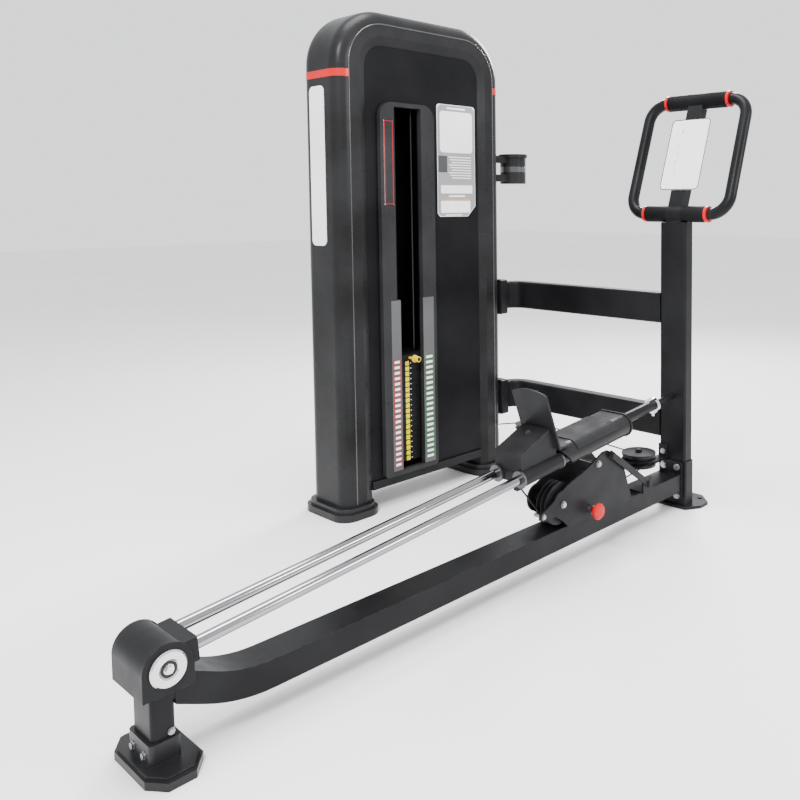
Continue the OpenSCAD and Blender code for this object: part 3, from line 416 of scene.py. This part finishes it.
def bed_mat():
    """A mat that follows the bed's rounded top, with grooves along the rail."""
    half_flat, shell, thick, low = 0.034, 0.034, 0.0028, 0.012
    length, start, lift = 0.190, 0.226, 0.005
    reach = math.acos(low / shell)
    path = []
    for i in range(13):
        a = reach * (1 - i / 12)
        path.append((-half_flat - shell * math.sin(a), shell * math.cos(a), -math.sin(a), math.cos(a)))
    for i in range(1, 24):
        path.append((-half_flat + 2 * half_flat * i / 24, shell, 0, 1))
    for i in range(13):
        a = reach * i / 12
        path.append((half_flat + shell * math.sin(a), shell * math.cos(a), math.sin(a), math.cos(a)))
    top, under = [], []
    for i, (y, z, ny, nz) in enumerate(path):
        rise = thick * (0.72 + 0.28 * (i % 2)) if 0 < i < len(path) - 1 else 0.001
        top.append((y + ny * rise, z + nz * rise))
        under.append((y + ny * 0.0003, z + nz * 0.0003))
    place = rail @ Matrix.Translation((start, 0, lift)) @ Matrix.Rotation(math.radians(90), 4, "Z")
    place = place @ Matrix.Rotation(math.radians(90), 4, "X")
    sheet = extrude(top + under[::-1], place, length)
    made = piece("bed_mat_ribbed", *sheet, mat_rubber, "rubber", "carriage", smooth=20)
    soften(made, 0.0005, 2)
    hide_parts("bed_mat")


bed_mat()

# ---------- Cables ----------

cable_radius = 0.0025
groove_y = -0.012


def arc(centre, radius, start, end, axes, steps=16):
    """Points of an arc about centre; axes are the directions at 0 and 90 degrees."""
    first, second = (Vector(axis) for axis in axes)
    return [
        Vector(centre) + radius * (math.cos(a) * first + math.sin(a) * second)
        for a in (math.radians(start + (end - start) * i / steps) for i in range(steps + 1))
    ]


def tangent_angle(point, radius, side):
    """Direction, in degrees, in which a line to point leaves a circle about the origin."""
    return math.degrees(math.atan2(point[1], point[0]) + side * math.acos(radius / math.hypot(*point)))


def cable_route():
    """The cable's fixed route, and its free end on the big pulley."""
    level, upright = ((1, 0, 0), (0, 1, 0)), ((1, 0, 0), (0, 0, 1))
    left, right, base = middle("left_pulley"), middle("right_pulley"), middle("base_pulley")
    idler, turn, wheel = middle("idler_pulley"), middle("column_pulley"), middle("big_pulley")
    turn.z -= 0.007
    guide_r, base_r, turn_r, wheel_r = 0.034, 0.028, 0.048, 0.054
    exit_angle = -35
    exit_way = (math.cos(math.radians(exit_angle)), math.sin(math.radians(exit_angle)), 0)
    lug = rail @ Vector((0.030, groove_y, -0.036))
    turn_line = math.degrees(math.atan2(turn.y - idler.y, turn.x - idler.x)) + 90
    wheel_in = tangent_angle((turn.x - wheel.x, turn.z - wheel.z), wheel_r, -1)
    wheel_out = tangent_angle((lug.x - wheel.x, lug.z - wheel.z), wheel_r, 1) - 360
    wheel_groove = (wheel.x, groove_y, wheel.z)
    points = arc(left, guide_r, 180, 90, upright) + arc(right, guide_r, 90, 0, upright)
    points += arc(base, base_r, 180, 270, (exit_way, (0, 0, 1)))
    points += arc(idler, turn_r, exit_angle + 90, turn_line, level, 8)
    points += arc(turn, turn_r, turn_line, -90, level)
    points += arc(wheel_groove, wheel_r, wheel_in, wheel_out, upright)
    return points, lug


route, lug = cable_route()
made = piece("cable_fixed", *sweep(route, cable_radius), cable_coat, "cable", smooth=60)
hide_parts("cable_run")
strand_start = route[-1]
strand_end = strand_start.lerp(lug, 0.94)
strand = sweep(straight(strand_start, strand_end, 40), cable_radius)
made = piece("cable_carriage", *strand, cable_coat, "cable", None, smooth=60)
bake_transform(made)
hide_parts("carriage_cable")
head_top = Vector((route[0].x, route[0].y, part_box("stack_cable")[0][2]))
strand = sweep(straight(head_top, route[0], 80), cable_radius)
made = piece("cable_stack", *strand, cable_coat, "cable", None, smooth=60)
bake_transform(made)
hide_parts("stack_cable")

# ---------- Printed plates ----------


def on_front(x, y, z):
    """A frame whose XY plane is upright and whose Z axis points at the user's side."""
    return Matrix.Translation((x, y, z)) @ Matrix.Rotation(math.radians(90), 4, "X")


def label(name, x, z, width, height, face, finish, slot="white", body="frame", radius=0.0015, proud=0.0006):
    """A thin raised panel on an upright face, by its middle."""
    place = on_front(x, face, z)
    return piece(name, *extrude(rounded(width, height, radius), place, proud), finish, slot, body)


def border(name, place, width, height, radius, line, proud, finish, slot):
    """A thin raised outline, drawn as a closed strip."""
    outer = rounded(width, height, radius)
    inner = rounded(width - 2 * line, height - 2 * line, max(radius - line, 0.0004))
    count = len(outer)
    vertices = [place @ Vector((x, y, z)) for z in (0, proud) for ring in (outer, inner) for x, y in ring]
    faces = []
    for k in range(count):
        n = (k + 1) % count
        faces += [
            (k, n, count + n, count + k),
            (2 * count + k, 2 * count + n, 3 * count + n, 3 * count + k),
            (k, n, 2 * count + n, 2 * count + k),
            (count + k, count + n, 3 * count + n, 3 * count + k),
        ]
    return piece(name, vertices, faces, finish, slot)


def instruction_plate():
    """Grey plate with blank white panels, plain bars and an orange line."""
    face = cover_face - 0.002
    middle_x, low, high = -0.329, 1.004, 1.412
    left, right, bottom, top, corner = -0.420, -0.238, low + 0.002, high - 0.002, 0.012
    cut_x, cut_z = -0.275, 1.043
    field = (
        (left, bottom + corner), (left + corner, bottom), (cut_x, bottom), (right, cut_z),
        (right, top - corner), (right - corner, top), (left + corner, top), (left, top - corner),
    )
    piece("plate_field", *extrude(field, on_front(0, face, 0), 0.0002), plate_grey, "grey_plastic")
    label("plate_figure", middle_x, high - 0.099, 0.160, 0.150, face, label_white, radius=0.014)
    label("plate_title", middle_x, high - 0.013, 0.090, 0.007, face, label_white)
    label("plate_picture", -0.396, 1.196, 0.042, 0.060, face, print_grey)
    for i in range(9):
        indent, z = 0.004 * (i % 3), 1.222 - 0.0095 * i
        label(f"plate_line_{i}", -0.312 + indent, z, 0.112 - 2 * indent, 0.0035, face, label_white)
    label("plate_box", middle_x, 1.104, 0.156, 0.030, face, label_white, radius=0.004)
    label("plate_heading", middle_x, 1.079, 0.080, 0.006, face, label_white)
    label("plate_orange", middle_x, 1.0665, 0.158, 0.005, face, print_orange)
    label("plate_table", -0.335, 1.040, 0.146, 0.044, face, label_white, radius=0.004)
    label("plate_foot", -0.345, low + 0.006, 0.080, 0.004, face, label_white)


instruction_plate()


def name_strip():
    """The blank strip on the bezel, dark with a red outline."""
    x, z, width, height, corner, line, margin = -0.654, 1.1925, 0.036, 0.283, 0.005, 0.0022, 0.0025
    size = (width + margin, height + margin)
    label("name_field", x, z, *size, bezel_face, bezel_plastic, "black_plastic", radius=corner)
    place = on_front(x, bezel_face - 0.0006, z)
    border("name_outline", place, width, height, corner, line, 0.0005, label_red, "red")


name_strip()


def value_marks():
    """White bars on the red and green marks, and yellow marks on the stack's plates."""
    pitch, base, count = 0.019, 0.134, 20
    mark_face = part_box("red_marks")[0][1]
    red_x, green_x = middle("red_marks").x, middle("green_marks").x
    plate_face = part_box("weight_plates")[0][1]
    mark_x, tick_x = -0.5615, -0.546
    for k in range(count):
        z = base + pitch * (k + 0.5)
        label(f"red_bar_{k}", red_x, z, 0.022, 0.0085, mark_face, label_white, proud=0.0003)
        label(f"green_bar_{k}", green_x, z, 0.029, 0.0085, mark_face, label_white, proud=0.0003)
        if k < count - 1:
            label(f"stack_mark_{k}", mark_x, z, 0.017, 0.0155, plate_face, print_yellow, "yellow")
            label(f"stack_tick_{k}", tick_x, z, 0.004, 0.0030, plate_face, label_white, radius=0.0008)


value_marks()


def handle_plate():
    """Dark outline, pale bars and a red mark on the handle's pale plate."""
    width, height, corner, line = 0.1545, 0.2615, 0.0158, 0.0030
    place = handle @ Matrix.Translation((-0.021, 0, 0.212)) @ Matrix.Rotation(math.radians(-90), 4, "Y")
    place = place @ Matrix.Rotation(math.radians(90), 4, "Z")
    border("handle_print", place, width, height, corner, line, 0.0004, bezel_plastic, "black_plastic")
    for i in range(4):
        bar = place @ Matrix.Translation((0.030 + 0.004 * (i % 2), 0.060 - 0.030 * i, 0))
        piece(f"handle_bar_{i}", *extrude(rounded(0.004, 0.018, 0.001), bar, 0.0003), value_pale, "white")
    mark = place @ Matrix.Translation((0.026, -0.086, 0))
    piece("handle_mark", *extrude(rounded(0.003, 0.012, 0.001), mark, 0.0003), label_red, "red")


handle_plate()

# ---------- Small turned details ----------


def turned(name, profile, place, finish, slot, body="frame"):
    """A small ring or disc of (radius, height) points about place's Z axis."""
    return piece(name, *lathe(profile, place, 48), finish, slot, body)


def flat_ring(inner, outer, low, high):
    """Profile of a ring, or of a disc where inner is 0."""
    return [(inner, low), (outer, low), (outer, high), (inner, high)]


def hub_recesses():
    """Dark rings in the recesses of the hub's two caps."""
    centre = middle("hub_caps")
    floor, profile = 0.0701, flat_ring(0.0098, 0.0155, 0, 0.0006)
    for hand, side in (("left", 1), ("right", -1)):
        turn = Matrix.Rotation(-side * math.pi / 2, 4, "X")
        face = Matrix.Translation((centre.x, side * floor, centre.z)) @ turn
        turned(f"hub_recess_{hand}", profile, face, bezel_plastic, "black_plastic")


def pin_centre():
    """Dark disc on the end of the selector's knob."""
    centre, front = middle("selector_pin"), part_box("selector_pin")[0][1]
    knob = Matrix.Translation((centre.x, front, centre.z)) @ Matrix.Rotation(math.pi / 2, 4, "X")
    profile = flat_ring(0, 0.0068, -0.0008, 0.0008)
    turned("pin_centre", profile, knob, bezel_plastic, "black_plastic", "selector")


def cup_band():
    """Grey band with bevelled edges round the cup."""
    rim_r, inner, outer, height, bevel = 0.058, 0.0515, 0.0526, 0.022, 0.0005
    place = Matrix.Translation((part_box("cup_holder")[1][0] - rim_r, 0.808, 1.176))
    profile = [(inner, 0), (outer, bevel), (outer, height - bevel), (inner, height)]
    turned("cup_band", profile, place, trim_grey_and_painted_highlight, "grey_plastic")


hub_recesses()
pin_centre()
cup_band()

# ---------- Tower bead, a painted highlight ---


def paint_tower_highlight():
    """A satin bead along the arch, where its front face meets the rounded shell; its lighter grey is a
    painted highlight, standing in for the light line on the arch's edge.
    """
    low, high = (Vector(corner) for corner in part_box("tower_hoop"))
    inset, radius, hoop_corner = 0.046, 0.0022, 0.190
    corner = hoop_corner - inset
    left, right, top = low.x + inset, high.x - inset, high.z - inset
    face, start = low.y + 0.0002, 0.045
    points = straight((left, face, start), (left, face, top - corner), 8)
    points += arc((left + corner, face, top - corner), corner, 180, 90, ((1, 0, 0), (0, 0, 1)), 24)
    points += arc((right - corner, face, top - corner), corner, 90, 0, ((1, 0, 0), (0, 0, 1)), 24)
    points += straight((right, face, top - corner), (right, face, start), 8)
    # The bead's lighter grey paints the highlight line along the arch.
    piece("tower_highlight_bead", *sweep(points, radius, 10), trim_grey_and_painted_highlight, "grey_plastic", smooth=60)


paint_tower_highlight()

# ---------- Studio ----------


def studio():
    """Pale floor, soft world light and four large area lights."""
    bpy.ops.mesh.primitive_plane_add(size=40, location=(0, 0, 0))
    floor = bpy.context.object
    floor.name = "floor"
    pale = Finish("floor", (0.90, 0.90, 0.90), 0.50)
    floor.data.materials.append(pale.finish(spread=0.02, patch=0.5, grain=40, bump=0.02))
    world = bpy.data.worlds.new("studio")
    world.use_nodes = True
    background = world.node_tree.nodes["Background"]
    background.inputs["Color"].default_value = (0.97, 0.98, 1.0, 1)
    background.inputs["Strength"].default_value = 1.6
    bpy.context.scene.world = world
    lights = (
        ("key", (-3.6, -1.2, 3.4), 1.2, 190),
        ("fill", (0.8, -3.8, 2.2), 1.2, 90),
        ("rim", (2.4, 1.6, 2.8), 1.2, 190),
        ("top", (-0.8, 0.4, 4.2), 1.8, 190),
    )
    aim = Vector((-0.8, 0.3, 0.7))
    for name, place, size, power in lights:
        data = bpy.data.lights.new(name, "AREA")
        data.size = size
        data.energy = power
        lamp = bpy.data.objects.new(name, data)
        lamp.location = place
        lamp.rotation_euler = (aim - Vector(place)).to_track_quat("-Z", "Y").to_euler()
        bpy.context.collection.objects.link(lamp)


def camera():
    """The main view: from beyond the front leg, towards the column and the tower."""
    yaw, pitch, roll = (math.radians(angle) for angle in (40.9652, -3.6021, -0.3159))
    ahead = Vector((math.cos(pitch) * math.cos(yaw), math.cos(pitch) * math.sin(yaw), math.sin(pitch)))
    level = Vector((math.sin(yaw), -math.cos(yaw), 0))
    above = level.cross(ahead)
    right = math.cos(roll) * level + math.sin(roll) * above
    up = -math.sin(roll) * level + math.cos(roll) * above
    data = bpy.data.cameras.new("camera")
    data.sensor_width = 36
    data.lens = 38.076
    data.shift_x = -0.1942
    data.shift_y = -0.1813
    data.clip_end = 100
    made = bpy.data.objects.new("camera", data)
    turn = Matrix((right, up, -ahead)).transposed()
    made.matrix_world = Matrix.Translation((-2.4643, -1.5883, 1.0567)) @ turn.to_4x4()
    bpy.context.collection.objects.link(made)
    bpy.context.scene.camera = made


studio()
camera()
